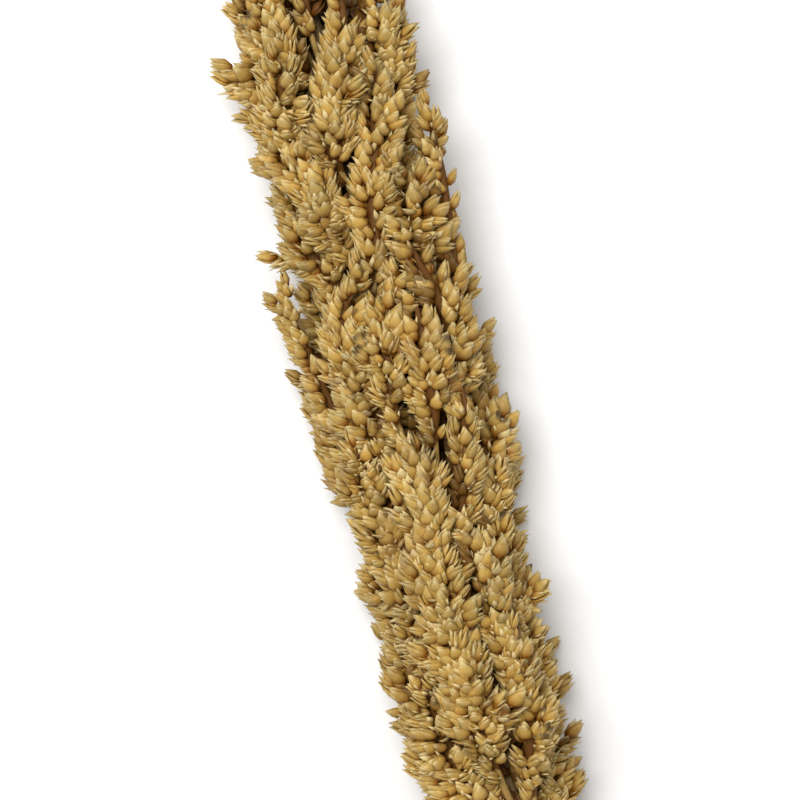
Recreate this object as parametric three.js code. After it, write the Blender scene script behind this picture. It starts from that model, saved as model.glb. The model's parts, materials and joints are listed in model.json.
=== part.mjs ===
// A dried compact sorghum seed head on its cut stem, lying on its side.
// Millimetres. +X runs from the cut end of the stem to the tip of the head, +Z is up,
// and the origin is on the surface that the head lies on, under the middle of its box.
//
// The head is a stem that carries whorls of branches. Each branch is a bare stalk that
// swells into a plump finger packed with grain. The fingers stand side by side along the
// head, so they are grown together: each starts on its own path and is then pushed
// clear of its neighbours, of the stem and of the surface under the head.
import * as THREE from "three";

// ---- Driving dimensions -------------------------------------------------------------
const STEM_LENGTH = 100; // cut stem below the lowest branches
const HEAD_LENGTH = 300; // lowest branches to the tip
const AXIS_HEIGHT = 19.5; // of the head's axis above the surface
const BOW = 1; // sideways bend of the whole axis at its middle
const STEM_RADIUS = 6.3; // at the cut
const NECK_RADIUS = 4.6; // where the lowest branches leave
const RACHIS_END = 258; // the stem's thin upper end, hidden inside the head
const RACHIS_END_RADIUS = 1.6;
const STALK_RADIUS = 1.3; // bare foot of a branch
const SWELL_LENGTH = 18; // from bare stalk to full girth
const TIP_LENGTH = 20; // rounded point of a branch
const TIP_ROUNDNESS = 2.4; // 2 would be an ellipse, and more is blunter
const GIRTH = 6.1; // usual half-width of a branch with its grain
const GIRTH_SPREAD = 0.8;
const GAP = 0.8; // between neighbours
const SMALLEST_GAP = 0.4;
const STEM_GAP = 1.2; // between a branch and the stem
const PRESS = 1.5; // how deep the lowest branches are pressed flat by their weight

// Half-width of the head at distances from its base.
const OUTLINE = [
  [0, 10], [22, 16.5], [48, 19.5], [74, 21], [100, 23.5], [125, 24.5], [151, 23.5],
  [177, 21], [203, 20.5], [229, 21.5], [250, 20], [270, 16], [290, 9], [300, 5],
];

// Whorls of branches up the stem: how many leave it, and how long they are.
const FIRST_WHORL = -3;
const WHORL_SPACING = 21.5;
const WHORL_SPREAD = 4.5; // how far up or down its branches leave
const WHORL_TURN = 0.62; // from one whorl to the next, in shares of a branch's own step
const WHORLS = [
  { count: 4, length: 66 },
  { count: 2, length: 76 },
  { count: 3, length: 80 },
  { count: 2, length: 84 },
  { count: 2, length: 86 },
  { count: 3, length: 84 },
  { count: 3, length: 84 },
  { count: 3, length: 80 },
  { count: 3, length: 76 },
  { count: 3, length: 68 },
  { count: 4, length: 60 },
  { count: 3, length: 48 },
];

// How a whorl's branches differ.
const LENGTH_SHARE = [0.88, 1.12];
const BARE_FOOT = [9, 16]; // stalk without grain
const FIRST_BARE_FOOT = 3;
const LEAN = [-1, 3]; // how far a tip stands out of the head's outline
const UNEVEN_TURN = 0.15;
const SHORT_OF_TIP = [3, 12]; // how far the highest ones end below the head's tip

// Branches with a place of their own: where they leave the stem, where their grain starts
// and where they end along the head, and how far to the side and above the axis their
// upper part lies. Some stand clear of their neighbours at the tip.
const OWN_PLACE = [
  {
    name: "branch_right_free",
    from: 98,
    grain: 110,
    to: 202,
    side: -25,
    rise: 6,
    girth: 3.6,
    clear: 8,
    rising: 0.35,
  },
  { name: "branch_left_free", from: 84, grain: 96, to: 167, side: 24, rise: 5, girth: 3.6, clear: 8 },
  { name: "branch_right_front", from: 20, grain: 32, to: 133, side: -16.5, rise: 18, girth: 4.2 },
  { name: "branch_centre_front", from: 12, grain: 24, to: 116, side: 1, rise: 21, girth: 7.2 },
  { name: "branch_centre_low", from: 2, grain: 12, to: 97, side: -8, rise: 19, girth: 5 },
  { name: "branch_right_back", from: 50, grain: 62, to: 133, side: -21, rise: -7, girth: 4.4 },
  { name: "branch_bare_foot_1", from: 56, grain: 111, to: 166, side: -4, rise: 19, girth: 4.8, rising: 0.35 },
  { name: "branch_bare_foot_2", from: 60, grain: 112, to: 158, side: -8, rise: 20, girth: 4.6, rising: 0.35 },
  { name: "branch_bare_foot_3", from: 64, grain: 114, to: 174, side: -12, rise: 18, girth: 4.8, rising: 0.35 },
];
const CLEAR_LENGTH = 24; // of the tip that stands clear

// The stem's last branch stands straight up from its end.
const TOP_BRANCH = { name: "branch_top", from: 264, to: HEAD_LENGTH, girth: 6 };

// ---- Rings and growth ---------------------------------------------------------------
const SLICE = 8; // spacing of the rings along the head
const SIDES = 8; // corners of a branch's ring
const STEM_SIDES = 12;
const STEM_STEP = 16; // spacing of the stem's rings
const ROUNDS = 80; // of pushing the branches clear of each other
const MOMENTUM = 0.6; // how straight a branch runs on from one slice to the next
const PULL = 0.12; // how strongly it bends towards its aim
const OWN_PULL = 0.35;
const STEEPEST_STEP = 3.6; // the most it moves across the head in one slice
const SMOOTHING = 0.4;
const SMOOTHING_PASSES = 3;
const LAST_SMOOTHING = 0.12;
const BETWEEN_SLICES = [0, 0.25, 0.5, 0.75, 1];
const SEED = 26;
const TIP_RINGS = [0.45, 0.8]; // shares of the way from the last slice to the tip
const FOOT_POINT = 0.5; // how far a branch's foot comes to a point

const FULL_TURN = 2 * Math.PI;

const STRAW = 0x9c7d48;
const OLIVE = 0x7a6238;

function seededRandom(seed) {
  let state = seed;
  return () => {
    state = (state * 1664525 + 1013904223) % 4294967296;
    return state / 4294967296;
  };
}

const clamp = (value, low, high) => Math.min(high, Math.max(low, value));
const mix = (from, to, share) => from + (to - from) * share;

function smoothStep(value) {
  const share = clamp(value, 0, 1);
  return share * share * (3 - 2 * share);
}

function outlineAt(along) {
  const after = OUTLINE.findIndex(([distance]) => distance >= along);
  if (after === 0) return OUTLINE[0][1];
  if (after < 0) return OUTLINE[OUTLINE.length - 1][1];
  const [x0, r0] = OUTLINE[after - 1];
  const [x1, r1] = OUTLINE[after];
  return mix(r0, r1, (along - x0) / (x1 - x0));
}

function stemRadiusAt(along) {
  if (along < 0) return mix(NECK_RADIUS, STEM_RADIUS, smoothStep(-along / STEM_LENGTH));
  if (along > RACHIS_END) return 0;
  return mix(NECK_RADIUS, RACHIS_END_RADIUS, along / RACHIS_END);
}

// ---- A branch and its path ----------------------------------------------------------
function branchRadius(branch, along) {
  const swell = smoothStep((along - branch.from - branch.bare) / SWELL_LENGTH);
  const point = clamp(1 - (branch.to - along) / TIP_LENGTH, 0, 1);
  return mix(STALK_RADIUS, branch.girth, swell) * Math.sqrt(1 - point ** TIP_ROUNDNESS);
}

// A branch has a station at every slice from its foot to the first one past its tip.
function stationsOf(branch) {
  const stations = [];
  for (let k = Math.round(branch.from / SLICE); k * SLICE < branch.to + SLICE; k += 1) {
    stations.push(k * SLICE);
  }
  return stations;
}

// A branch leaves the stem steeply and then runs along the outside of the head.
function aimedReach(branch, along, radius) {
  const near = stemRadiusAt(along) + radius + STEM_GAP;
  const gone = (along - branch.from) / (branch.to - branch.from);
  const outside = outlineAt(along) - radius + branch.lean * smoothStep(gone);
  const far = branch.own ? branch.reach : outside;
  return mix(near, Math.max(near, far), smoothStep(gone / branch.rising));
}

function pathOf(branch) {
  return stationsOf(branch).map((along) => {
    const radius = branchRadius(branch, along);
    const reach = branch.central ? 0 : aimedReach(branch, along, radius);
    const y = reach * Math.cos(branch.turn);
    const z = reach * Math.sin(branch.turn);
    return { along, radius, y, z, aim: { y, z }, branch };
  });
}

function ownPlaceBranches() {
  return OWN_PLACE.map((given) => ({
    ...given,
    own: true,
    bare: given.grain - given.from,
    lean: 0,
    rising: given.rising ?? 0.7,
    reach: Math.hypot(given.side, given.rise),
    turn: Math.atan2(given.rise, given.side),
  }));
}

function whorlBranches(random) {
  const grown = [];
  WHORLS.forEach(({ count, length }, whorl) => {
    for (let place = 0; place < count; place += 1) {
      const leaves = FIRST_WHORL + whorl * WHORL_SPACING;
      const from = leaves + WHORL_SPREAD * mix(-1, 1, random());
      const end = from + length * mix(...LENGTH_SHARE, random());
      grown.push({
        name: `branch_${String(grown.length + 1).padStart(2, "0")}`,
        from,
        to: Math.min(end, HEAD_LENGTH - mix(...SHORT_OF_TIP, random())),
        girth: GIRTH + GIRTH_SPREAD * mix(-1, 1, random()),
        bare: whorl === 0 ? FIRST_BARE_FOOT : mix(...BARE_FOOT, random()),
        lean: mix(...LEAN, random()),
        rising: 0.5,
        turn: (place + WHORL_TURN * whorl + UNEVEN_TURN * mix(-1, 1, random())) * (FULL_TURN / count),
      });
    }
  });
  return grown;
}

function topBranch() {
  return { ...TOP_BRANCH, bare: 1, lean: 0, turn: 0, central: true };
}

// ---- Growing the branches side by side ----------------------------------------------
function move(point, dy, dz) {
  point.y += dy;
  point.z += dz;
}

// A branch keeps its direction from slice to slice and bends slowly towards its aim.
function carryOn(path, i) {
  const here = path[i];
  const before = path[i - 1];
  const earlier = path[i - 2] ?? before;
  const pull = here.branch.own ? OWN_PULL : PULL;
  const dy = MOMENTUM * (before.y - earlier.y) + pull * (here.aim.y - before.y);
  const dz = MOMENTUM * (before.z - earlier.z) + pull * (here.aim.z - before.z);
  const ease = Math.min(1, STEEPEST_STEP / Math.max(0.01, Math.hypot(dy, dz)));
  here.y = before.y + dy * ease;
  here.z = before.z + dz * ease;
}

function clearAround({ along, branch }) {
  const inTip = smoothStep(1 - (branch.to - along) / CLEAR_LENGTH);
  return (branch.clear ?? 0) * inTip;
}

function pushApart(a, b) {
  const dy = b.y - a.y;
  const dz = b.z - a.z;
  const apart = Math.max(0.01, Math.hypot(dy, dz));
  const gap = GAP + Math.max(clearAround(a), clearAround(b));
  const short = (a.radius + b.radius + gap - apart) / apart;
  if (short <= 0) return;
  const share = a.branch.own === b.branch.own ? 0.5 : a.branch.own ? 0.2 : 0.8;
  move(a, -dy * short * share, -dz * short * share);
  move(b, dy * short * (1 - share), dz * short * (1 - share));
}

function keepInHead(point) {
  const reach = Math.max(0.01, Math.hypot(point.y, point.z));
  const rachis = stemRadiusAt(point.along);
  const least = rachis > 0 ? rachis + point.radius + STEM_GAP : 0;
  const room = outlineAt(point.along) + Math.max(0, point.branch.lean) - point.radius;
  const most = point.branch.own ? point.branch.reach : room;
  const wanted = Math.max(least, Math.min(most, reach));
  move(point, (point.y / reach) * (wanted - reach), (point.z / reach) * (wanted - reach));
  point.z = Math.max(point.z, point.radius - PRESS - AXIS_HEIGHT);
}

function makeRoom(points) {
  for (let i = 0; i < points.length; i += 1) {
    for (let j = i + 1; j < points.length; j += 1) pushApart(points[i], points[j]);
  }
  points.forEach(keepInHead);
}

function slicesOf(branches) {
  const slices = new Map();
  for (const point of branches.flatMap((branch) => branch.path)) {
    if (!slices.has(point.along)) slices.set(point.along, []);
    slices.get(point.along).push(point);
  }
  return [...slices.keys()].sort((a, b) => a - b).map((along) => slices.get(along));
}

function smoothPath(path, strength) {
  for (let i = 1; i < path.length - 1; i += 1) {
    const here = path[i];
    const dy = (path[i - 1].y + path[i + 1].y) / 2 - here.y;
    const dz = (path[i - 1].z + path[i + 1].z) / 2 - here.z;
    move(here, strength * dy, strength * dz);
  }
}

// Halfway between two slices a branch also stays clear of the stem.
function clearStem(path) {
  for (let i = 1; i < path.length; i += 1) {
    const a = path[i - 1];
    const b = path[i];
    const rachis = stemRadiusAt((a.along + b.along) / 2);
    const y = (a.y + b.y) / 2;
    const z = (a.z + b.z) / 2;
    const reach = Math.max(0.01, Math.hypot(y, z));
    const short = (rachis + (a.radius + b.radius) / 2 + STEM_GAP - reach) / reach;
    if (rachis === 0 || short <= 0) continue;
    for (const end of [a, b]) move(end, y * short, z * short);
  }
}

function growTogether(branches) {
  const slices = slicesOf(branches);
  for (const points of slices) {
    for (const point of points) {
      const i = point.branch.path.indexOf(point);
      if (i > 0) carryOn(point.branch.path, i);
    }
    for (let round = 0; round < ROUNDS; round += 1) makeRoom(points);
  }
  for (let round = 0; round < ROUNDS; round += 1) {
    for (const { path } of branches) {
      for (let pass = 0; pass < SMOOTHING_PASSES; pass += 1) smoothPath(path, SMOOTHING);
      clearStem(path);
    }
    slices.forEach(makeRoom);
  }
  for (let round = 0; round < ROUNDS; round += 1) {
    for (const { path } of branches) {
      smoothPath(path, LAST_SMOOTHING);
      clearStem(path);
    }
    slices.forEach(makeRoom);
    slices.forEach(makeRoom);
  }
  for (let i = 1; i < slices.length; i += 1) shrinkToFit(slices[i - 1], slices[i]);
}

// The share of their girth that two branches can keep between one slice and the next.
function shareToKeep(a, b, nextA, nextB) {
  const shares = BETWEEN_SLICES.map((at) => {
    const dy = mix(b.y - a.y, nextB.y - nextA.y, at);
    const dz = mix(b.z - a.z, nextB.z - nextA.z, at);
    const widths = mix(a.radius + b.radius, nextA.radius + nextB.radius, at);
    return (Math.hypot(dy, dz) - SMALLEST_GAP) / Math.max(SMALLEST_GAP, widths);
  });
  return Math.min(1, ...shares);
}

// Branches that are still too close after the pushing give up some girth.
function shrinkToFit(points, nextPoints) {
  const nextOf = (point) => nextPoints.find(({ branch }) => branch === point.branch) ?? point;
  for (let i = 0; i < points.length; i += 1) {
    for (let j = i + 1; j < points.length; j += 1) {
      const pair = [points[i], points[j], nextOf(points[i]), nextOf(points[j])];
      const share = shareToKeep(...pair);
      for (const point of new Set(pair)) point.radius *= share;
    }
  }
}

// ---- Solids -------------------------------------------------------------------------
// The whole axis bows a little to one side.
function axisAt(along) {
  const share = (along + STEM_LENGTH) / (STEM_LENGTH + HEAD_LENGTH);
  return BOW * 4 * share * (1 - share);
}

const inPlace = ([along, y, z]) => [along, y + axisAt(along), Math.max(0, z + AXIS_HEIGHT)];

// A ring across the head, with a flat side downwards.
function ring({ along, y, z, radius }, sides) {
  const corners = [];
  for (let s = 0; s < sides; s += 1) {
    const angle = ((s + 0.5) * FULL_TURN) / sides;
    corners.push([along, y + radius * Math.cos(angle), z + radius * Math.sin(angle)]);
  }
  return corners;
}

// One closed skin over a row of rings, with a point at each end, bent and pressed flat
// where it lies on the surface.
function loft(rings, startPoint, endPoint) {
  const sides = rings[0].length;
  const positions = [startPoint, ...rings.flat(), endPoint].map(inPlace);
  const last = positions.length - 1;
  const faces = [];
  const corner = (r, s) => 1 + r * sides + (s % sides);
  for (let s = 0; s < sides; s += 1) {
    faces.push([0, corner(0, s + 1), corner(0, s)]);
    faces.push([last, corner(rings.length - 1, s), corner(rings.length - 1, s + 1)]);
    for (let r = 0; r < rings.length - 1; r += 1) {
      faces.push([corner(r, s), corner(r, s + 1), corner(r + 1, s)]);
      faces.push([corner(r, s + 1), corner(r + 1, s + 1), corner(r + 1, s)]);
    }
  }
  const geometry = new THREE.BufferGeometry();
  geometry.setAttribute("position", new THREE.Float32BufferAttribute(positions.flat(), 3));
  geometry.setIndex(faces.flat());
  geometry.computeVertexNormals();
  return geometry;
}

function branchSolid(branch) {
  const { path, to } = branch;
  const body = path.slice(0, -1);
  const last = body[body.length - 1];
  const past = path[path.length - 1];
  const towardsTip = (share) => {
    const along = mix(last.along, to, share);
    const moved = (along - last.along) / SLICE;
    const radius = Math.min(mix(last.radius, past.radius, moved), branchRadius(branch, along));
    return { along, radius, y: mix(last.y, past.y, moved), z: mix(last.z, past.z, moved) };
  };
  const rings = [...body, ...TIP_RINGS.map(towardsTip)].map((point) => ring(point, SIDES));
  const foot = body[0];
  const tip = towardsTip(1);
  return loft(rings, [foot.along - FOOT_POINT, foot.y, foot.z], [to, tip.y, tip.z]);
}

function stemSolid() {
  const stations = [];
  for (let along = -STEM_LENGTH; along < RACHIS_END; along += STEM_STEP) stations.push(along);
  stations.push(RACHIS_END);
  const rings = stations.map((along) =>
    ring({ along, y: 0, z: 0, radius: stemRadiusAt(along) }, STEM_SIDES),
  );
  return loft(rings, [-STEM_LENGTH, 0, 0], [RACHIS_END, 0, 0]);
}

function named(name, geometry, color, roughness) {
  const material = new THREE.MeshStandardMaterial({ color, roughness, metalness: 0 });
  const mesh = new THREE.Mesh(geometry, material);
  mesh.name = name;
  return mesh;
}

// ---- The whole head -----------------------------------------------------------------
const branches = [...ownPlaceBranches(), ...whorlBranches(seededRandom(SEED)), topBranch()];
for (const branch of branches) branch.path = pathOf(branch);
growTogether(branches);

const head = new THREE.Group();
head.add(named("stem", stemSolid(), OLIVE, 0.7));
for (const branch of branches) {
  head.add(named(branch.name, branchSolid(branch), STRAW, 0.6));
}

const box = new THREE.Box3().setFromObject(head);
head.position.set(-(box.min.x + box.max.x) / 2, -(box.min.y + box.max.y) / 2, 0);

export default head;
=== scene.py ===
"""A dried compact sorghum seed head on its cut stem, lying on a pale floor."""

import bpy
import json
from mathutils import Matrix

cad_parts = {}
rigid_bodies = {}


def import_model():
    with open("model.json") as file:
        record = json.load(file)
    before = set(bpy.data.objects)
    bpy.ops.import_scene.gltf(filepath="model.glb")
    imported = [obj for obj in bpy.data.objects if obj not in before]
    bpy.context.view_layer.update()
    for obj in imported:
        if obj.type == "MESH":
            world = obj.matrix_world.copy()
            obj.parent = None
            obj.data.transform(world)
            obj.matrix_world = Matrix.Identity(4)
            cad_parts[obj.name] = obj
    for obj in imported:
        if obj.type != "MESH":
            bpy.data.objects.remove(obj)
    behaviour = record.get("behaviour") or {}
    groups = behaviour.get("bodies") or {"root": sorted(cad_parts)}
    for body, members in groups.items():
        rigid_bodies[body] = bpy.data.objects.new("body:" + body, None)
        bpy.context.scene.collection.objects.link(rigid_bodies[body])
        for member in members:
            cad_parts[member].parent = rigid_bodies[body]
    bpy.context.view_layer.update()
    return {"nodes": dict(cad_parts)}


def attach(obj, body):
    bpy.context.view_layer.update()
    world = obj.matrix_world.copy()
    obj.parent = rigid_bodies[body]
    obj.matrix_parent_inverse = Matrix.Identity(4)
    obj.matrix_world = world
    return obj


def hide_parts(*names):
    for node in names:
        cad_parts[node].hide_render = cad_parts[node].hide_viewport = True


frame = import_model()

import json
import math
import random

import bpy
import numpy as np
from mathutils import Matrix, Vector
from mathutils.bvhtree import BVHTree

# ---- The stem ------------------------------------------------------------------------
# One grown piece: the peduncle, cut off square below the head, and the thin rachis that
# it becomes inside the head. It is hard, dry and fibrous, ribbed lengthwise, with soft
# pale pith at the cut. The lowest branches run down it as flat ridges before they part.
MM = 0.001
FULL_TURN = 2 * math.pi
STEM_SIDES = 72
STEM_STEP = 1.5 * MM
RIB_COUNT = 26
RIB_HEIGHT = 0.09 * MM
RIDGE_HEIGHT = 0.75 * MM
RIDGE_LENGTH = 34 * MM
RIDGE_WIDTH = 0.26  # radians
SCAR_BELOW_HEAD = 27 * MM
SCAR_HEIGHT = 0.28 * MM
SCAR_WIDTH = 1.1 * MM
FIBRE_SCALE = (30.0, 1500.0, 1500.0)  # fine across the stem, long drawn out along it
BAND_SCALE = (12.0, 260.0, 260.0)
FINE_RIBS = 44
PITH_DEPTH = 0.9 * MM
PITH_HOLLOW = ((1.0, 0.0), (0.8, 0.45), (0.2, 0.8))  # depth at shares of the stem's radius
STEM_OLIVE = (0.185, 0.118, 0.040, 1)
STEM_TAN = (0.290, 0.185, 0.068, 1)
STEM_DARK = (0.060, 0.028, 0.008, 1)
PITH_CREAM = (0.560, 0.440, 0.250, 1)
OCTAGON_HALF_HEIGHT = math.cos(math.pi / 8)


def rings_of(name, half_height):
    """The rings of a CAD solid, from one end to the other: centre and radius of each."""
    points = np.array([v.co for v in frame["nodes"][name].data.vertices])
    stations = np.unique(np.round(points[:, 0], 5))
    rings = []
    for station in stations:
        ring = points[np.abs(points[:, 0] - station) < 2e-5]
        radius = np.ptp(ring[:, 1]) / 2 / half_height
        centre_y = (ring[:, 1].max() + ring[:, 1].min()) / 2
        centre_z = ring[:, 2].max() - radius * half_height
        rings.append((station, centre_y, centre_z, radius))
    return np.array(rings)


def smooth_step(value):
    share = np.clip(value, 0, 1)
    return share * share * (3 - 2 * share)


def smoothed(rings, stations):
    """Rings at other stations, on a curve through the given ones."""
    x = rings[:, 0]
    slopes = np.gradient(rings[:, 1:], x, axis=0)
    found = []
    for station in stations:
        i = int(np.clip(np.searchsorted(x, station) - 1, 0, len(x) - 2))
        step = x[i + 1] - x[i]
        t = (station - x[i]) / step
        here = (1 + 2 * t) * (1 - t) ** 2 * rings[i, 1:] + t * t * (3 - 2 * t) * rings[i + 1, 1:]
        bend = step * (t * (1 - t) ** 2 * slopes[i] + t * t * (t - 1) * slopes[i + 1])
        found.append((station, *(here + bend)))
    return np.array(found)


def mesh_object(name, points, faces, smooth=True):
    mesh = bpy.data.meshes.new(name)
    mesh.from_pydata([tuple(p) for p in points], [], faces)
    mesh.validate()
    for polygon in mesh.polygons:
        polygon.use_smooth = smooth
    made = bpy.data.objects.new(name, mesh)
    bpy.context.scene.collection.objects.link(made)
    return made


def set_uv(made, name, at_vertex):
    """A UV map from one pair of numbers for each vertex."""
    layer = made.data.uv_layers.new(name=name)
    corners = np.array([loop.vertex_index for loop in made.data.loops])
    layer.uv.foreach_set("vector", np.array(at_vertex, np.float32)[corners].ravel())


def set_number(made, name, at_vertex):
    attribute = made.data.attributes.new(name, "FLOAT", "POINT")
    attribute.data.foreach_set("value", np.array(at_vertex, np.float32))


def skin_faces(ring_count, sides, first, last):
    """Faces of a closed skin: rings in a row, with single points first and last."""
    faces = []
    for s in range(sides):
        after = (s + 1) % sides
        faces.append((first, 1 + after, 1 + s))
        end = 1 + (ring_count - 1) * sides
        faces.append((last, end + s, end + after))
        for r in range(ring_count - 1):
            low, high = 1 + r * sides, 1 + (r + 1) * sides
            faces.append((low + s, low + after, high + after, high + s))
    return faces


def stem_radius(angle, along, radius, feet):
    """Ribs, branch ridges and leaf scar on the smooth radius of the stem."""
    fade = smooth_step((along - feet[0][0] + 0.02) / -0.02) * 0.7 + 0.3
    ribs = RIB_HEIGHT * math.sin(RIB_COUNT * angle + 1.7 * math.sin(3 * angle))
    radius += ribs * fade + 0.5 * RIB_HEIGHT * math.sin(11 * angle + 60 * along)
    for foot_along, foot_angle in feet:
        below = (foot_along - along) / RIDGE_LENGTH
        off = math.remainder(angle - foot_angle, FULL_TURN) / RIDGE_WIDTH
        drop = math.exp(-((below - 0.86) / 0.14) ** 2) * 0.8
        height = smooth_step((1.05 - below) / 0.2) * smooth_step((below + 0.5) / 0.4) * (0.55 + drop)
        radius += RIDGE_HEIGHT * height * math.exp(-(off * (1.25 - 0.45 * drop)) ** 2)
    scar = (along - feet[0][0] + SCAR_BELOW_HEAD + 0.002 * math.cos(angle)) / SCAR_WIDTH
    return radius + SCAR_HEIGHT * math.exp(-scar * scar)


branch_names = sorted(n for n in frame["nodes"] if n.startswith("branch_"))
branch_rings = {name: rings_of(name, OCTAGON_HALF_HEIGHT) for name in branch_names}
stem_rings = rings_of("stem", math.cos(math.pi / 12))
cut_x, cut_y, cut_z, cut_radius = stem_rings[0]
head_base = min(rings[0, 0] for rings in branch_rings.values())


def axis_at(x):
    """Where the head's axis is, across the head."""
    return np.interp(x, stem_rings[:, 0], stem_rings[:, 1]), cut_z


def lowest_feet():
    feet = []
    for rings in branch_rings.values():
        if rings[0, 0] < head_base + 14 * MM:
            axis_y, axis_z = axis_at(rings[1, 0])
            feet.append((rings[0, 0], math.atan2(rings[1, 2] - axis_z, rings[1, 1] - axis_y)))
    return sorted(feet)


def make_stem():
    feet = lowest_feet()
    stations = np.arange(cut_x, stem_rings[-1, 0], STEM_STEP)
    path = smoothed(stem_rings, stations)
    inner = [(cut_x + deep * PITH_DEPTH, share) for deep, share in PITH_HOLLOW]
    points = [(inner[0][0], cut_y, cut_z)]
    where = [(0.0, 0.0)]
    rings = [(x, cut_y, cut_z, cut_radius * share, True) for x, share in inner[1:]]
    rings += [(x, y, z, r, False) for x, y, z, r in path]
    for x, y, z, radius, at_cut in rings:
        for s in range(STEM_SIDES):
            angle = FULL_TURN * s / STEM_SIDES
            reach = radius if at_cut else stem_radius(angle, x, radius, feet)
            points.append((x, y + reach * math.cos(angle), z + reach * math.sin(angle)))
            where.append((s / STEM_SIDES, radius / cut_radius if at_cut else 1 + (x - cut_x)))
    end = path[-1]
    points.append((end[0] + end[3], end[1], end[2]))
    where.append((0.5, 1.5))
    made = mesh_object("stem_fibrous", points, skin_faces(len(rings), STEM_SIDES, 0, len(points) - 1))
    set_number(made, "around", [w[0] for w in where])
    set_number(made, "from_pith", [min(w[1], 1.0) for w in where])
    return made


class Nodes:
    """Builds a node tree: add() makes a node and sets its inputs from values or sockets."""

    def __init__(self, tree):
        self.tree = tree
        self.at = 0

    def add(self, kind, inputs=None, **settings):
        node = self.tree.nodes.new(kind)
        node.location = (self.at, 0)
        self.at += 200
        for name, value in settings.items():
            setattr(node, name, value)
        for name, value in (inputs or {}).items():
            socket = node.inputs[name]
            if isinstance(value, bpy.types.NodeSocket):
                self.tree.links.new(value, socket)
            else:
                socket.default_value = value
        return node

    def sum(self, operation, *values):
        inputs = dict(enumerate(values))
        return self.add("ShaderNodeMath", inputs, operation=operation).outputs[0]

    def blend(self, share, first, second, mode="MIX"):
        inputs = {0: share, 6: first, 7: second}
        return self.add("ShaderNodeMix", inputs, data_type="RGBA", blend_type=mode).outputs[2]

    def between(self, value, low, high):
        """0 below low, 1 above high, smooth between."""
        node = self.add(
            "ShaderNodeMapRange",
            {"Value": value, "From Min": low, "From Max": high},
            interpolation_type="SMOOTHSTEP",
        )
        return node.outputs["Result"]

    def number(self, name):
        return self.add("ShaderNodeAttribute", attribute_name=name).outputs["Fac"]


def make_material(name):
    material = bpy.data.materials.new(name)
    material.use_nodes = True
    tree = material.node_tree
    tree.nodes.clear()
    nodes = Nodes(tree)
    shader = nodes.add("ShaderNodeBsdfPrincipled")
    output = nodes.add("ShaderNodeOutputMaterial")
    tree.links.new(shader.outputs[0], output.inputs["Surface"])
    return material, nodes, shader


def make_weathering():
    """Shared by stem and husks: blotches where dry straw has browned, and dust-fine grain."""
    group = bpy.data.node_groups.new("weathering", "ShaderNodeTree")
    face = group.interface
    face.new_socket("Color", in_out="INPUT", socket_type="NodeSocketColor")
    face.new_socket("Brown", in_out="INPUT", socket_type="NodeSocketColor")
    face.new_socket("Amount", in_out="INPUT", socket_type="NodeSocketFloat")
    face.new_socket("Blotch Scale", in_out="INPUT", socket_type="NodeSocketFloat")
    face.new_socket("Color", in_out="OUTPUT", socket_type="NodeSocketColor")
    face.new_socket("Blotches", in_out="OUTPUT", socket_type="NodeSocketFloat")
    nodes = Nodes(group)
    given = nodes.add("NodeGroupInput")
    place = nodes.add("ShaderNodeTexCoord").outputs["Object"]
    blotch = nodes.add(
        "ShaderNodeTexNoise",
        {"Vector": place, "Scale": given.outputs["Blotch Scale"], "Detail": 3.0, "Roughness": 0.6},
    )
    fine = nodes.add("ShaderNodeTexNoise", {"Vector": place, "Scale": 1400.0, "Detail": 2.0})
    blotches = nodes.between(blotch.outputs["Fac"], 0.5, 0.72)
    share = nodes.sum("MULTIPLY", blotches, given.outputs["Amount"])
    browned = nodes.blend(share, given.outputs["Color"], given.outputs["Brown"])
    light = nodes.sum("MULTIPLY_ADD", fine.outputs["Fac"], 0.35, 0.83)
    grained = nodes.blend(1.0, browned, light, "MULTIPLY")
    result = nodes.add("NodeGroupOutput")
    group.links.new(grained, result.inputs["Color"])
    group.links.new(blotches, result.inputs["Blotches"])
    return group


def weathered(nodes, color, brown, amount, scale):
    node = nodes.add("ShaderNodeGroup", node_tree=weathering)
    for name, value in (("Color", color), ("Brown", brown), ("Amount", amount), ("Blotch Scale", scale)):
        if isinstance(value, bpy.types.NodeSocket):
            nodes.tree.links.new(value, node.inputs[name])
        else:
            node.inputs[name].default_value = value
    return node.outputs["Color"], node.outputs["Blotches"]


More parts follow.
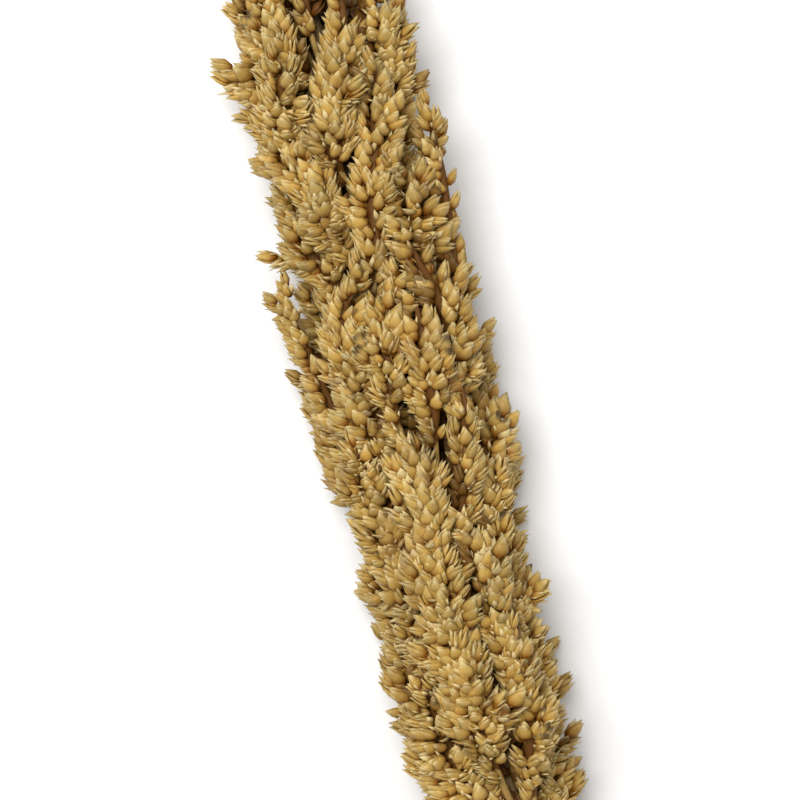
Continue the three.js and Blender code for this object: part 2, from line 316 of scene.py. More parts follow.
def make_stem_material():
    material, nodes, shader = make_material("dry_stem")
    around = nodes.number("around")
    place = nodes.add("ShaderNodeTexCoord").outputs["Object"]
    long_fibre = nodes.add("ShaderNodeMapping", {"Vector": place, "Scale": FIBRE_SCALE})
    fibre = nodes.add(
        "ShaderNodeTexNoise", {"Vector": long_fibre.outputs[0], "Scale": 1.0, "Detail": 4.0}
    ).outputs["Fac"]
    wide = nodes.add("ShaderNodeMapping", {"Vector": place, "Scale": BAND_SCALE})
    band = nodes.add("ShaderNodeTexNoise", {"Vector": wide.outputs[0], "Scale": 1.0, "Detail": 2.0})
    color = nodes.blend(nodes.between(band.outputs["Fac"], 0.35, 0.65), STEM_OLIVE, STEM_TAN)
    color = nodes.blend(nodes.between(fibre, 0.56, 0.74), color, STEM_DARK)
    color, blotches = weathered(nodes, color, STEM_DARK, 0.55, 90.0)
    from_pith = nodes.number("from_pith")
    holes = nodes.add("ShaderNodeTexVoronoi", {"Vector": place, "Scale": 1100.0}).outputs["Distance"]
    pith = nodes.blend(nodes.between(holes, 0.25, 0.12), PITH_CREAM, STEM_TAN)
    rind = nodes.between(from_pith, 0.8, 0.97)
    color = nodes.blend(rind, pith, color)
    nodes.tree.links.new(color, shader.inputs["Base Color"])
    rough = nodes.sum("MULTIPLY_ADD", fibre, 0.3, 0.42)
    nodes.tree.links.new(rough, shader.inputs["Roughness"])
    ribs = nodes.sum("SINE", nodes.sum("MULTIPLY", around, FULL_TURN * FINE_RIBS))
    height = nodes.sum("ADD", nodes.sum("MULTIPLY", ribs, 0.25), fibre)
    bump = nodes.add("ShaderNodeBump", {"Height": height, "Strength": 0.6, "Distance": 0.00018})
    nodes.tree.links.new(bump.outputs[0], shader.inputs["Normal"])
    return material


weathering = make_weathering()
stem = make_stem()
stem.data.materials.append(make_stem_material())
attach(stem, "root")
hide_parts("stem")

# ---- The grain -----------------------------------------------------------------------
# Ripe spikelets. A plump one is a hard shiny pair of husks clasped round a grain; beside
# it stand one or two slender ones that stayed empty, pale and papery. They grow on short
# thread-like twigs, one to six plump ones to a twig, each narrowing to a beak.
PLUMP_LENGTH = 6.4 * MM
PLUMP_HALF_WIDTH = 2.3 * MM
PLUMP_HALF_DEPTH = 1.5 * MM
SLENDER_LENGTH = 6.0 * MM
SLENDER_HALF_WIDTH = 0.80 * MM
TWIG_RADIUS = 0.20 * MM
SPIKELET_STEP = 1.6 * MM
TWIG_COUNTS = (0, 0, 0, 1, 2, 3, 3, 4, 4, 5, 2, 3, 3)  # plump spikelets below the top one
SHORT_TWIGS = 3
TWIG_SEED = 41
EMPTY_SHARE = 0.07  # plump spikelets that lost their grain and gape
SLENDER_SHARE = 0.62  # of the places beside a plump spikelet
TWIG_TILT = 0.62  # radians that the lowest spikelets stand off their twig
TIP_STRAIGHTER = 0.26  # less at the twig's end
SWINGS = (-0.95, 0.95, 0.05, -1.25, 1.25, 2.9)  # radians round the twig from its outer side
PLUMP_OUTLINE = ((0.09, 0.56), (0.34, 1.0), (0.60, 0.80), (0.82, 0.34))
INNER_OUTLINE = ((0.12, 0.6), (0.45, 1.0), (0.80, 0.46))
SLENDER_OUTLINE = ((0.12, 0.6), (0.55, 0.94))
KIND_PLUMP, KIND_SLENDER, KIND_TWIG = 0.0, 1.0, 2.0
UP = Vector((0, 0, 1))
OUT = Vector((1, 0, 0))


class Heap:
    """Points, faces and numbers of many small closed skins, gathered into one mesh."""

    def __init__(self):
        self.points, self.faces, self.uv, self.kind, self.tint = [], [], [], [], []

    def take(self, skin, kind, tint, turn):
        points, faces, uv = skin
        start = len(self.points)
        self.points += [turn @ Vector(p) for p in points]
        self.faces += [tuple(start + i for i in face) for face in faces]
        self.uv += uv
        self.kind += [kind] * len(points)
        self.tint += [tint] * len(points)

    def made(self, name):
        thing = mesh_object(name, self.points, self.faces)
        set_uv(thing, "husk", self.uv)
        set_number(thing, "kind", self.kind)
        set_number(thing, "tint", self.tint)
        return thing


def husk(length, half_width, half_depth, outline, back, beak, arc_points=5):
    """A closed skin along Z that bulges to +X. back is how far its other side bulges the
    same way: below 0 it is plump on both sides, near 1 it is a thin shell."""
    arc = [math.pi * (i / (arc_points - 1) - 0.5) for i in range(arc_points)]
    sides = 2 * arc_points - 2
    points, uv = [(0.0, 0.0, 0.0)], [(0.5, 0.0)]
    for share, wide in outline:
        drift = beak * half_depth * share ** 3
        front = [(a, half_depth * wide) for a in arc]
        behind = [(a, half_depth * wide * back) for a in reversed(arc[1:-1])]
        for a, bulge in front + behind:
            points.append((bulge * math.cos(a) + drift, half_width * wide * math.sin(a), length * share))
            uv.append((a / math.pi + 0.5, share))
    points.append((beak * half_depth, 0.0, length))
    uv.append((0.5, 1.0))
    return points, skin_faces(len(outline), sides, 0, len(points) - 1), uv


def tube_along(stops, radii, sides):
    """A closed tube through the stops."""
    points, uv = [tuple(stops[0])], [(0.0, 0.0)]
    for i, (stop, radius) in enumerate(zip(stops, radii)):
        before, after = stops[max(i - 1, 0)], stops[min(i + 1, len(stops) - 1)]
        way = (Vector(after) - Vector(before)).normalized()
        across = way.orthogonal().normalized()
        other = way.cross(across)
        for s in range(sides):
            a = FULL_TURN * s / sides
            around = math.cos(a) * across + math.sin(a) * other
            points.append(tuple(Vector(stop) + float(radius) * around))
            uv.append((s / sides, i / (len(stops) - 1)))
    points.append(tuple(stops[-1]))
    uv.append((0.0, 1.0))
    return points, skin_faces(len(stops), sides, 0, len(points) - 1), uv


def stood(place, way, face, size=1.0):
    """Moves a skin along Z that bulges to +X so that it runs along way and bulges to face."""
    up = way.normalized()
    side = up.cross(face).normalized()
    out = side.cross(up)
    turn = Matrix((out, side, up)).transposed().to_4x4()
    return Matrix.Translation(place) @ turn @ Matrix.Scale(size, 4)


def tilted(way, towards, angle):
    return way * math.cos(angle) + towards * math.sin(angle)


def add_plump(heap, place, way, face, chance):
    tint = chance.random()
    empty = chance.random() < EMPTY_SHARE
    gape = chance.uniform(0.2, 0.36) if empty else chance.uniform(0.0, 0.10)
    hollow = (0.8, 0.8) if empty else (0.25, -0.4)
    outer_beak, inner_beak = chance.uniform(0.0, 0.5), chance.uniform(-0.1, 0.4)
    inner_width = 0.86 * PLUMP_HALF_WIDTH
    outer = husk(PLUMP_LENGTH, PLUMP_HALF_WIDTH, PLUMP_HALF_DEPTH, PLUMP_OUTLINE, hollow[0], outer_beak)
    inner = husk(
        1.03 * PLUMP_LENGTH, inner_width, PLUMP_HALF_DEPTH, INNER_OUTLINE, hollow[1], inner_beak, 4
    )
    size = chance.uniform(0.7, 0.85) if empty else chance.uniform(0.88, 1.1)
    kind = KIND_SLENDER if empty else KIND_PLUMP
    heap.take(outer, kind, tint, stood(place, tilted(way, face, gape), face, size))
    heap.take(inner, kind, tint, stood(place, tilted(way, -face, gape * empty), -face, size))


def add_slender(heap, place, way, face, chance):
    tint = chance.random()
    width = SLENDER_HALF_WIDTH * chance.uniform(0.8, 1.3)
    beak = chance.uniform(-0.4, 1.2)
    shape = husk(SLENDER_LENGTH, width, 0.7 * width, SLENDER_OUTLINE, -0.4, beak, 4)
    heap.take(shape, KIND_SLENDER, tint, stood(place, way, face, chance.uniform(0.75, 1.1)))


def add_spikelets(heap, place, way, face, chance):
    """One plump spikelet and the slender ones at its sides."""
    way = way.normalized()
    side = way.cross(face).normalized()
    face = side.cross(way)
    add_plump(heap, place, way, face, chance)
    for hand in (-1, 1):
        if chance.random() < SLENDER_SHARE:
            aim = tilted(way, hand * side, chance.uniform(0.25, 0.65)) - face * chance.uniform(0.0, 0.15)
            foot = place + hand * 0.7 * MM * side - 0.4 * MM * face
            add_slender(heap, foot, aim, face + hand * 0.5 * side, chance)


def make_twig(number, chance):
    """A twig along Z with its spikelets; +X is its outer side."""
    heap = Heap()
    count = TWIG_COUNTS[number]
    top = count * SPIKELET_STEP
    if number < SHORT_TWIGS:
        add_plump(heap, Vector((0, 0, 0)), UP + 0.15 * OUT, OUT, chance)
        return heap.made(f"twig_{number:02d}")
    stops = [(0, 0, -2.5 * MM), (0, 0, 0.5 * top), (0, 0, top)]
    heap.take(tube_along(stops, [TWIG_RADIUS] * 3, 4), KIND_TWIG, chance.random(), Matrix.Identity(4))
    for k in range(count):
        swing = SWINGS[k % len(SWINGS)] + chance.gauss(0, 0.22)
        tilt = TWIG_TILT - TIP_STRAIGHTER * k / count + chance.gauss(0, 0.11)
        towards = Vector((math.cos(swing), math.sin(swing), 0))
        place = k * SPIKELET_STEP * UP + 0.45 * MM * towards
        add_spikelets(heap, place, tilted(UP, towards, tilt), towards + 0.6 * OUT, chance)
    aim = Vector((chance.uniform(0.0, 0.25), chance.gauss(0, 0.12), 1))
    add_spikelets(heap, top * UP, aim, Vector((1, chance.gauss(0, 0.3), 0)), chance)
    return heap.made(f"twig_{number:02d}")


husk_chance = random.Random(TWIG_SEED)
twig_shelf = bpy.data.collections.new("twigs")
for number in range(len(TWIG_COUNTS)):
    twig = make_twig(number, husk_chance)
    bpy.context.scene.collection.objects.unlink(twig)
    twig_shelf.objects.link(twig)

# The husks' base colours are their own browner base, darkened further by painted shade.
HUSK_BASE_SHADED = (0.260, 0.088, 0.006, 1)
HUSK_STRAW = (0.505, 0.340, 0.098, 1)
HUSK_GOLD = (0.505, 0.312, 0.072, 1)
HUSK_PALE = (0.665, 0.520, 0.235, 1)
HUSK_BROWN = (0.190, 0.070, 0.009, 1)
PAPER_PALE = (0.705, 0.560, 0.265, 1)
PAPER_BASE_SHADED = (0.340, 0.170, 0.026, 1)
SCORCHED = (0.045, 0.018, 0.006, 1)
STALK_TAN = (0.430, 0.275, 0.080, 1)
# Painted shade colour: grain, stalks and core deep in the head turn to it.
SHADE_BROWN = (0.110, 0.036, 0.003, 1)
HUSK_SHINE = 0.2  # dry husks mirror little of the room
VEIN_COUNT = 9  # ribs across one husk
SPOT_SCALE = 75.0  # of the places where tips have scorched
SHADE_SHARE = 0.93  # how far painted shade turns hidden grain, stalks and core to the shade brown


def make_husk_material():
    material, nodes, shader = make_material("straw_husk")
    place = nodes.add("ShaderNodeTexCoord").outputs["Object"]
    where = nodes.add("ShaderNodeUVMap", uv_map="husk").outputs["UV"]
    split = nodes.add("ShaderNodeSeparateXYZ", {"Vector": where})
    across, along = split.outputs["X"], split.outputs["Y"]
    kind, tint, tone = nodes.number("kind"), nodes.number("tint"), nodes.number("tone")
    depth = nodes.number("depth")
    plump = nodes.blend(nodes.between(tint, 0.15, 0.85), HUSK_STRAW, HUSK_GOLD)
    # Husk bases darken: partly their own browner base, partly painted shade where husks overlap near the
    # twig.
    plump = nodes.blend(nodes.between(along, 0.60, 0.08), plump, HUSK_BASE_SHADED)
    plump = nodes.blend(nodes.between(along, 0.62, 0.98), plump, HUSK_PALE)
    papery = nodes.blend(nodes.between(along, 0.2, 0.85), PAPER_BASE_SHADED, PAPER_PALE)
    color = nodes.blend(nodes.between(kind, 0.4, 0.6), plump, papery)
    color = nodes.blend(nodes.between(kind, 1.4, 1.6), color, STALK_TAN)
    veins = nodes.sum("SINE", nodes.sum("MULTIPLY", across, FULL_TURN * VEIN_COUNT))
    vein_share = nodes.between(veins, 0.2, 1.0)
    color = nodes.blend(nodes.sum("MULTIPLY", vein_share, 0.16), color, HUSK_BROWN)
    bright = nodes.sum("MULTIPLY_ADD", tone, 0.34, 0.83)
    color = nodes.blend(1.0, color, bright, "MULTIPLY")
    color, blotches = weathered(nodes, color, HUSK_BROWN, 0.5, 120.0)
    # Painted shade: darker brown where a place sees little sky.
    color = nodes.blend(nodes.sum("MULTIPLY", depth, SHADE_SHARE), color, SHADE_BROWN)
    spots = nodes.add("ShaderNodeTexNoise", {"Vector": place, "Scale": SPOT_SCALE, "Detail": 1.0})
    scorched = nodes.between(spots.outputs["Fac"], 0.70, 0.74)
    dark_tip = nodes.sum("MULTIPLY", scorched, nodes.between(along, 0.5, 0.9))
    color = nodes.blend(nodes.sum("MULTIPLY", dark_tip, 0.9), color, SCORCHED)
    nodes.tree.links.new(color, shader.inputs["Base Color"])
    papery_share = nodes.between(kind, 0.4, 0.6)
    rough = nodes.sum("MULTIPLY_ADD", papery_share, 0.2, 0.42)
    rough = nodes.sum("ADD", rough, nodes.sum("MULTIPLY", nodes.between(along, 0.5, 1.0), 0.15))
    nodes.tree.links.new(rough, shader.inputs["Roughness"])
    shader.inputs["Specular IOR Level"].default_value = HUSK_SHINE
    wrinkle = nodes.add("ShaderNodeTexNoise", {"Vector": place, "Scale": 900.0, "Detail": 2.0})
    height = nodes.sum("ADD", nodes.sum("MULTIPLY", veins, 0.3), wrinkle.outputs["Fac"])
    bump = nodes.add("ShaderNodeBump", {"Height": height, "Strength": 0.5, "Distance": 0.00012})
    nodes.tree.links.new(bump.outputs[0], shader.inputs["Normal"])
    return material


# ---- The branches --------------------------------------------------------------------
# Each branch is a hard, dry stalk, bare at its foot, that leaves the stem and runs up the
# head. Twigs stand round it all the way to its tip, so close that it looks like a plump
# finger of grain; the innermost ones stay short because they have no room. Grain, stalk
# and core deep in the head carry painted shade: a darker brown where little sky reaches.
CORE_SIDES = 10
CORE_STEP = 2.0 * MM
SLIM_CORE_SHARE = 0.28  # of a thin branch's radius
CORE_SHARE = 0.46  # of a plump one's
CORE_LEAST = 0.5 * MM
STALK_RADIUS = 1.15 * MM
STALK_SIDES = 8
STALK_SHOWS = 0.4  # free share of the sky at which a stalk has no painted shade
STALK_SHADE = 0.55  # painted shade on a stalk where no sky reaches it
TWIG_SPACING = 3.3 * MM
SHORT_SPACING = 2.5 * MM
FLOOR_CLEAR = 0.3 * MM
TWIG_DRIFT = 1.3  # how far neighbouring twigs bend the same way together
LOW_SPLAY = 0.4  # radians more that twigs stand out near the foot of the head
SPLAY_FADES = (85 * MM, 20 * MM)  # up from the foot: none beyond the first, all below the last
CLUMP_SCALE = 130.0  # of the patches of larger and smaller grain
SWIRL_SCALE = 75.0  # of the patches of twigs that bend the same way
MOST_TWIGS = 900000.0  # to the square metre, before spacing thins them out
TWIG_JITTER = 0.2
LEAN_VARIES = 0.25  # radians either way
TWIST_VARIES = 0.6
SMALLEST_CLUMP, CLUMP_GAIN = 0.72, 0.5
SIZE_VARIES = (0.9, 1.08)
GRAIN_SIZE = 1.05
NO_TWIGS, ALL_TWIGS = -0.08, 0.16  # openness at which a place bears none or all
FULLY_LIT, FULLY_HIDDEN = 0.42, 0.05  # openness at which grain has no painted shade or its full painted shade
RAY_START = 0.8 * MM
FLOOR_REACH = 60 * MM  # looks down that meet the floor nearer than this count for less
FLOOR_LIGHT = 0.4
FIRST_SEED = 100
TIP_REACH = 18 * MM  # grain stands full round the last stretch of a branch
SKY_RINGS = ((0.0, 1), (0.55, 5), (1.1, 7))  # angle off the outward way, looks at that angle
SLIM_RADIUS = 2.6 * MM  # branches this thin have the least lean and the smallest grain
FULL_RADIUS = 6.0 * MM
LEAST_LEAN = 0.72
USUAL_LEAN = 0.44  # radians that a twig leans out from its branch
CLOSE_LEAN = {  # the branches beside the bare stalks keep their twigs close
    "branch_right_front": 0.16,
    "branch_centre_front": 0.28,
    "branch_centre_low": 0.16,
}
LEAST_SIZE = 0.86


def grain_mass():
    """All branches as one solid, to test what is hidden behind what."""
    points, faces = [], []
    for name in branch_names:
        mesh = frame["nodes"][name].data
        start = len(points)
        points += [tuple(v.co) for v in mesh.vertices]
        faces += [tuple(start + i for i in polygon.vertices) for polygon in mesh.polygons]
    return BVHTree.FromPolygons(points, faces)


def open_share(mass, point, outward):
    """How much of the way out from a place is free, 0 when it is deep in the head."""
    across = outward.orthogonal().normalized()
    other = outward.cross(across)
    start = point + RAY_START * outward
    free = total = 0
    for angle, looks in SKY_RINGS:
        for k in range(looks):
            a = FULL_TURN * k / looks
            aside = math.cos(a) * across + math.sin(a) * other
            way = math.cos(angle) * outward + math.sin(angle) * aside
            total += 1
            below_floor = way.z < 0 and start.z / -way.z < FLOOR_REACH
            if mass.ray_cast(start, way)[0] is None:
                free += FLOOR_LIGHT if below_floor else 1.0
    return free / total


def make_core(name, rings):
    """The closed surface that twigs stand on, with what they need to know at each point; it is drawn in
    full painted shade.
    """
    length = rings[-1, 0] - rings[0, 0]
    stations = np.linspace(rings[0, 0], rings[-1, 0], max(8, int(length / CORE_STEP)))
    path = smoothed(rings, stations)
    path[:, 3] = np.maximum(path[:, 3], 0)
    ways = np.gradient(path[:, :3], axis=0)
    ways /= np.linalg.norm(ways, axis=1)[:, None]
    points, girth, run, bearing, openness = [], [], [], [], []

    def note(place, radius, way, bears, share):
        points.append(place)
        girth.append(radius)
        run.append(tuple(way))
        bearing.append(bears)
        openness.append(share)

    note(tuple(path[0, :3]), path[0, 3], ways[0], 0.0, 0.0)
    for (x, y, z, radius), way in zip(path[1:-1], ways[1:-1]):
        radius = float(radius)
        full = float(smooth_step((radius - SLIM_RADIUS) / (FULL_RADIUS - SLIM_RADIUS)))
        core = max((SLIM_CORE_SHARE + (CORE_SHARE - SLIM_CORE_SHARE) * full) * radius, CORE_LEAST)
        in_tip = x > path[-1, 0] - TIP_REACH
        bears = 1.0 if in_tip else float(smooth_step((radius - 1.6 * MM) / (1.4 * MM)))
        for s in range(CORE_SIDES):
            angle = FULL_TURN * s / CORE_SIDES
            outward = Vector((0, math.cos(angle), math.sin(angle)))
            middle = Vector((x, y, z))
            share = open_share(mass, middle + radius * outward, outward)
            note(tuple(middle + core * outward), radius, way, bears, share)
    end_share = open_share(mass, Vector(path[-1, :3]), Vector(ways[-1]))
    note(tuple(path[-1, :3]), 0.0, ways[-1], 1.0, end_share)
    faces = skin_faces(len(path) - 2, CORE_SIDES, 0, len(points) - 1)
    core = mesh_object(f"core_{name}", points, faces)
    set_number(core, "girth", girth)
    set_number(core, "bearing", bearing)
    set_number(core, "openness", openness)
    set_number(core, "kind", [KIND_TWIG] * len(points))
    set_number(core, "tone", [0.5] * len(points))
    # Painted shade: the core is a dark brown sheet standing for the shaded inside of the finger.
    set_number(core, "depth", [1.0] * len(points))
    way = core.data.attributes.new("way", "FLOAT_VECTOR", "POINT")
    way.data.foreach_set("vector", np.array(run, np.float32).ravel())
    return core, path


def make_stalk(name, path):
    """The bare stalk inside the twigs, with painted shade where grain lies over it."""
    stops = [tuple(p[:3]) for p in path[:-2]]
    shares = [open_share(mass, Vector(p[:3]) + float(p[3]) * UP, UP) for p in path[:-2]]
    taper = np.linspace(1.0, 0.35, len(stops))
    heap = Heap()
    tube = tube_along(stops, STALK_RADIUS * taper, STALK_SIDES)
    heap.take(tube, KIND_TWIG, 0.5, Matrix.Identity(4))
    stalk = heap.made(f"stalk_{name}")
    set_number(stalk, "tone", [0.5] * len(stalk.data.vertices))
    # Painted shade along the stalk, from how little sky each stop sees.
    shade = {stop: 1 - min(1.0, share / STALK_SHOWS) for stop, share in zip(stops, shares)}
    painted_shades = []
    for vertex in stalk.data.vertices:
        nearest = min(stops, key=lambda stop: abs(stop[0] - vertex.co.x))
        painted_shades.append(STALK_SHADE * shade[nearest])
    set_number(stalk, "depth", painted_shades)
    return stalk


def socket(tree, name, kind, value=None, way="INPUT"):
    made = tree.interface.new_socket(name, in_out=way, socket_type=kind)
    if value is not None:
        made.default_value = value
    return made


class GrainNodes(Nodes):
    """Nodes of the grain tree, with what it is given and what a place on a core knows."""

    def __init__(self, tree):
        super().__init__(tree)
        self.given = self.add("NodeGroupInput").outputs
        self.place = self.add("GeometryNodeInputPosition").outputs[0]

    def known(self, name, kind="FLOAT"):
        found = self.add("GeometryNodeInputNamedAttribute", {"Name": name}, data_type=kind)
        return found.outputs[0]

    def chance(self, low, high, offset):
        seed = self.sum("ADD", self.given["Seed"], float(offset))
        drawn = self.add("FunctionNodeRandomValue", {2: low, 3: high, "Seed": seed}, data_type="FLOAT")
        return drawn.outputs[1]

    def vector(self, operation, *values, scale=None):
        inputs = dict(enumerate(values))
        if scale is not None:
            inputs["Scale"] = scale
        return self.add("ShaderNodeVectorMath", inputs, operation=operation).outputs[0]

    def patches(self, scale):
        return self.add("ShaderNodeTexNoise", {"Vector": self.place, "Scale": scale, "Detail": 1.0})

    def by_girth(self, least):
        """least on the thinnest branches, 1 on the plump ones."""
        full = self.between(self.known("girth"), SLIM_RADIUS, FULL_RADIUS)
        return self.sum("MULTIPLY_ADD", full, 1 - least, least)

    def store(self, geometry, name, value):
        inputs = {"Geometry": geometry, "Name": name, "Value": value}
        stored = self.add(
            "GeometryNodeStoreNamedAttribute", inputs, data_type="FLOAT", domain="INSTANCE"
        )
        return stored.outputs[0]

    def join(self, *parts):
        joined = self.add("GeometryNodeJoinGeometry")
        for part in parts:
            self.tree.links.new(part, joined.inputs[0])
        return joined.outputs[0]


def twig_lean(nodes, lean_share, offset):
    """The angle between a twig and its branch."""
    along = nodes.add("ShaderNodeSeparateXYZ", {"Vector": nodes.place}).outputs["X"]
    from_base = nodes.sum("SUBTRACT", along, nodes.given["Base"])
    low = nodes.between(from_base, *SPLAY_FADES)
    lean = nodes.sum("MULTIPLY", nodes.given["Lean"], lean_share)
    lean = nodes.sum("ADD", lean, nodes.chance(-LEAN_VARIES, LEAN_VARIES, 1 + offset))
    lean = nodes.sum("MULTIPLY_ADD", low, LOW_SPLAY, lean)
    return nodes.sum("MULTIPLY", lean, nodes.by_girth(LEAST_LEAN))


def twig_aim(nodes, outward, lean, offset):
    """Which way a twig points: part outwards, part along the branch, and a little astray."""
    out_part = nodes.vector("SCALE", outward, scale=nodes.sum("SINE", lean))
    way = nodes.known("way", "FLOAT_VECTOR")
    way_part = nodes.vector("SCALE", way, scale=nodes.sum("COSINE", lean))
    jitter = nodes.add(
        "FunctionNodeRandomValue",
        {0: (-TWIG_JITTER,) * 3, 1: (TWIG_JITTER,) * 3, "Seed": 7 + offset},
        data_type="FLOAT_VECTOR",
    ).outputs[0]
    swirl = nodes.patches(SWIRL_SCALE).outputs["Color"]
    drift = nodes.vector("SCALE", nodes.vector("SUBTRACT", swirl, (0.5, 0.5, 0.5)), scale=TWIG_DRIFT)
    aim = nodes.vector("ADD", nodes.vector("ADD", out_part, way_part), jitter)
    return nodes.vector("ADD", aim, drift)


def twig_rotation(nodes, outward, aim, offset):
    """Stands a twig along its aim, outer side outwards, with a twist of its own."""
    standing = nodes.add("FunctionNodeAlignRotationToVector", {"Vector": aim}, axis="Z")
    facing = nodes.add(
        "FunctionNodeAlignRotationToVector",
        {"Rotation": standing.outputs[0], "Vector": outward},
        axis="X",
        pivot_axis="Z",
    )
    turn = nodes.chance(-TWIST_VARIES, TWIST_VARIES, 2 + offset)
    twist = nodes.add("ShaderNodeCombineXYZ", {"Z": turn}).outputs[0]
    spin = nodes.add("FunctionNodeEulerToRotation", {"Euler": twist}).outputs[0]
    turned = {"Rotation": facing.outputs[0], "Rotate By": spin}
    return nodes.add("FunctionNodeRotateRotation", turned, rotation_space="LOCAL").outputs[0]


def twig_size(nodes, offset):
    clumps = nodes.patches(CLUMP_SCALE).outputs["Fac"]
    size = nodes.sum("MULTIPLY_ADD", clumps, CLUMP_GAIN, SMALLEST_CLUMP)
    size = nodes.sum("MULTIPLY", size, nodes.chance(*SIZE_VARIES, 3 + offset))
    usual = nodes.sum("MULTIPLY", nodes.by_girth(LEAST_SIZE), nodes.given["Size"])
    return nodes.sum("MULTIPLY", size, usual)


def twigs_spread(nodes, shelf, spacing, first, last, lean_share, offset):
    """Twigs from first to last on the shelf, spread over the core."""
    openness = nodes.known("openness")
    room = nodes.between(openness, NO_TWIGS, ALL_TWIGS)
    scattered = nodes.add(
        "GeometryNodeDistributePointsOnFaces",
        {
            "Mesh": nodes.given["Geometry"],
            "Distance Min": spacing,
            "Density Max": MOST_TWIGS,
            "Density Factor": nodes.sum("MULTIPLY", nodes.known("bearing"), room),
            "Seed": nodes.sum("ADD", nodes.given["Seed"], 31.0 * offset),
        },
        distribute_method="POISSON",
    )
    outward = scattered.outputs["Normal"]
    aim = twig_aim(nodes, outward, twig_lean(nodes, lean_share, offset), offset)
    pick = nodes.add(
        "FunctionNodeRandomValue",
        {4: first, 5: last, "Seed": nodes.sum("ADD", nodes.given["Seed"], 5.0)},
        data_type="INT",
    ).outputs[2]
    placed = nodes.add(
        "GeometryNodeInstanceOnPoints",
        {
            "Points": scattered.outputs["Points"],
            "Instance": shelf,
            "Pick Instance": True,
            "Instance Index": pick,
            "Rotation": twig_rotation(nodes, outward, aim, offset),
            "Scale": twig_size(nodes, offset),
        },
    ).outputs[0]
    toned = nodes.store(placed, "tone", nodes.chance(0.0, 1.0, 4 + offset))
    # Painted shade, from how little sky the twig's place sees.
    return nodes.store(toned, "depth", nodes.between(openness, FULLY_LIT, FULLY_HIDDEN))


def lifted_off_floor(nodes, geometry):
    parts = nodes.add("ShaderNodeSeparateXYZ", {"Vector": nodes.place}).outputs
    raised = nodes.sum("MAXIMUM", parts["Z"], nodes.given["Floor"])
    kept = nodes.add("ShaderNodeCombineXYZ", {"X": parts["X"], "Y": parts["Y"], "Z": raised})
    moved = {"Geometry": geometry, "Position": kept.outputs[0]}
    return nodes.add("GeometryNodeSetPosition", moved).outputs[0]


def make_grain_tree():
    """Twigs on a branch's core, leaning towards its tip, as one mesh with its stalk."""
    tree = bpy.data.node_groups.new("grain_on_branch", "GeometryNodeTree")
    socket(tree, "Geometry", "NodeSocketGeometry")
    socket(tree, "Stalk", "NodeSocketObject")
    socket(tree, "Twigs", "NodeSocketCollection")
    socket(tree, "Spacing", "NodeSocketFloat", TWIG_SPACING)
    socket(tree, "Short Spacing", "NodeSocketFloat", SHORT_SPACING)
    socket(tree, "Lean", "NodeSocketFloat", USUAL_LEAN)
    socket(tree, "Size", "NodeSocketFloat", GRAIN_SIZE)
    socket(tree, "Floor", "NodeSocketFloat", FLOOR_CLEAR)
    socket(tree, "Base", "NodeSocketFloat", head_base)
    socket(tree, "Seed", "NodeSocketInt", 1)
    socket(tree, "Husk", "NodeSocketMaterial")
    socket(tree, "Geometry", "NodeSocketGeometry", way="OUTPUT")
    nodes = GrainNodes(tree)
    given = nodes.given
    shelf = nodes.add(
        "GeometryNodeCollectionInfo",
        {0: given["Twigs"], "Separate Children": True, "Reset Children": True},
    ).outputs[0]
    last = len(TWIG_COUNTS) - 1
    long_twigs = twigs_spread(nodes, shelf, given["Spacing"], SHORT_TWIGS, last, 1.0, 0)
    short_twigs = twigs_spread(nodes, shelf, given["Short Spacing"], 0, SHORT_TWIGS - 1, 1.2, 50)
    both = nodes.join(long_twigs, short_twigs)
    real = nodes.add("GeometryNodeRealizeInstances", {"Geometry": both}).outputs[0]
    stalk = nodes.add("GeometryNodeObjectInfo", {"Object": given["Stalk"]}).outputs["Geometry"]
    lifted = lifted_off_floor(nodes, nodes.join(real, stalk, given["Geometry"]))
    finished = nodes.add("GeometryNodeSetMaterial", {"Geometry": lifted, "Material": given["Husk"]})
    result = nodes.add("NodeGroupOutput")
    tree.links.new(finished.outputs[0], result.inputs[0])
    return tree


def set_inputs(modifier, values):
    for item in modifier.node_group.interface.items_tree:
        if item.item_type == "SOCKET" and item.in_out == "INPUT" and item.name in values:
            modifier[item.identifier] = values[item.name]


def grown(name, core, values):
    """The mesh that the tree makes on a core, as a plain object."""
    modifier = core.modifiers.new("grain", "NODES")
    modifier.node_group = grain_tree
    set_inputs(modifier, values)
    bpy.context.view_layer.update()
    evaluated = core.evaluated_get(bpy.context.evaluated_depsgraph_get())
    mesh = bpy.data.meshes.new_from_object(evaluated)
    mesh.name = name
    made = bpy.data.objects.new(name, mesh)
    bpy.context.scene.collection.objects.link(made)
    return made


husk_material = make_husk_material()
mass = grain_mass()
grain_tree = make_grain_tree()
for order, name in enumerate(branch_names):
    core, path = make_core(name, branch_rings[name])
    stalk = make_stalk(name, path)
    values = {
        "Stalk": stalk,
        "Twigs": twig_shelf,
        "Lean": CLOSE_LEAN.get(name, USUAL_LEAN),
        "Seed": FIRST_SEED + order,
        "Husk": husk_material,
    }
    finger = grown(f"{name}_grain", core, values)
    for helper in (core, stalk):
        bpy.data.objects.remove(helper)
    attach(finger, "root")
    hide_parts(name)
for twig in list(twig_shelf.objects):
    bpy.data.objects.remove(twig)
bpy.data.collections.remove(twig_shelf)

# ---- The floor -----------------------------------------------------------------------
# A wide sheet of pale matt board, large enough to run out of every view.
FLOOR_SIZE = 12.0
FLOOR_PALE = (0.95, 0.95, 0.95, 1)


def make_floor():
    half = FLOOR_SIZE / 2
    corners = [(-half, -half, 0), (half, -half, 0), (half, half, 0), (-half, half, 0)]
    made = mesh_object("floor", corners, [(0, 1, 2, 3)], smooth=False)
    material, nodes, shader = make_material("pale_board")
    shader.inputs["Base Color"].default_value = FLOOR_PALE
    shader.inputs["Roughness"].default_value = 0.9
    made.data.materials.append(material)
    return made


make_floor()

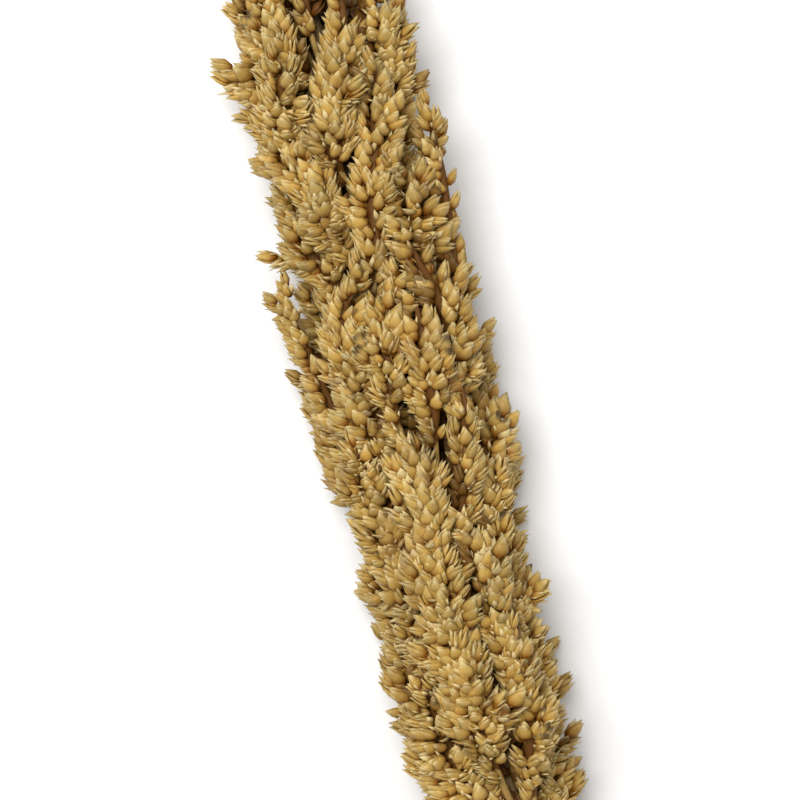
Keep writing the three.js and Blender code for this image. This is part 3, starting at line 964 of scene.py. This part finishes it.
# ---- Light and camera ----------------------------------------------------------------
# A white room, one large soft light high above the head and a little to its left, and a
# camera that looks straight down on the seeded part, with the tip and stem out of view.
ROOM_STRENGTH = 0.47
KEY_STRENGTH = 12.0
KEY_SIZE = 0.7
KEY_HEIGHT = 1.1
KEY_ASIDE = Vector((-0.25, 0.28, 0))  # left of the head and up the view
LENS = 110.0
SENSOR = 36.0
VIEW_WIDTH = 213 * MM
VIEW_ALONG = 232.6 * MM  # from the cut end of the stem to the middle of the view
VIEW_ASIDE = 2.6 * MM
HEAD_LEAN = math.radians(14.03)
FRONT_HEIGHT = 32 * MM


def make_camera():
    camera = bpy.data.cameras.new("camera")
    camera.lens = LENS
    camera.sensor_width = SENSOR
    camera.clip_start = 0.01
    camera.clip_end = 30
    made = bpy.data.objects.new("camera", camera)
    bpy.context.scene.collection.objects.link(made)
    distance = VIEW_WIDTH * LENS / SENSOR
    middle = Vector((cut_x + VIEW_ALONG, cut_y + VIEW_ASIDE, FRONT_HEIGHT + distance))
    turn = Matrix.Rotation(-math.pi / 2 - HEAD_LEAN, 4, "Z")
    made.matrix_world = Matrix.Translation(middle) @ turn
    bpy.context.scene.camera = made
    return made


def make_key_light(camera):
    light = bpy.data.lights.new("key", "AREA")
    light.energy = KEY_STRENGTH
    light.shape = "DISK"
    light.size = KEY_SIZE
    made = bpy.data.objects.new("key", light)
    bpy.context.scene.collection.objects.link(made)
    side = camera.matrix_world.to_3x3()
    target = Vector((camera.location.x, camera.location.y, 0))
    place = target + side @ KEY_ASIDE + Vector((0, 0, KEY_HEIGHT))
    made.location = place
    made.rotation_euler = (target - place).to_track_quat("-Z", "Y").to_euler()


def light_room():
    world = bpy.data.worlds.new("room")
    world.use_nodes = True
    ground = world.node_tree.nodes["Background"]
    ground.inputs["Color"].default_value = (1.0, 1.0, 1.0, 1)
    ground.inputs["Strength"].default_value = ROOM_STRENGTH
    bpy.context.scene.world = world


make_key_light(make_camera())
light_room()
bpy.context.scene.view_settings.view_transform = "Standard"
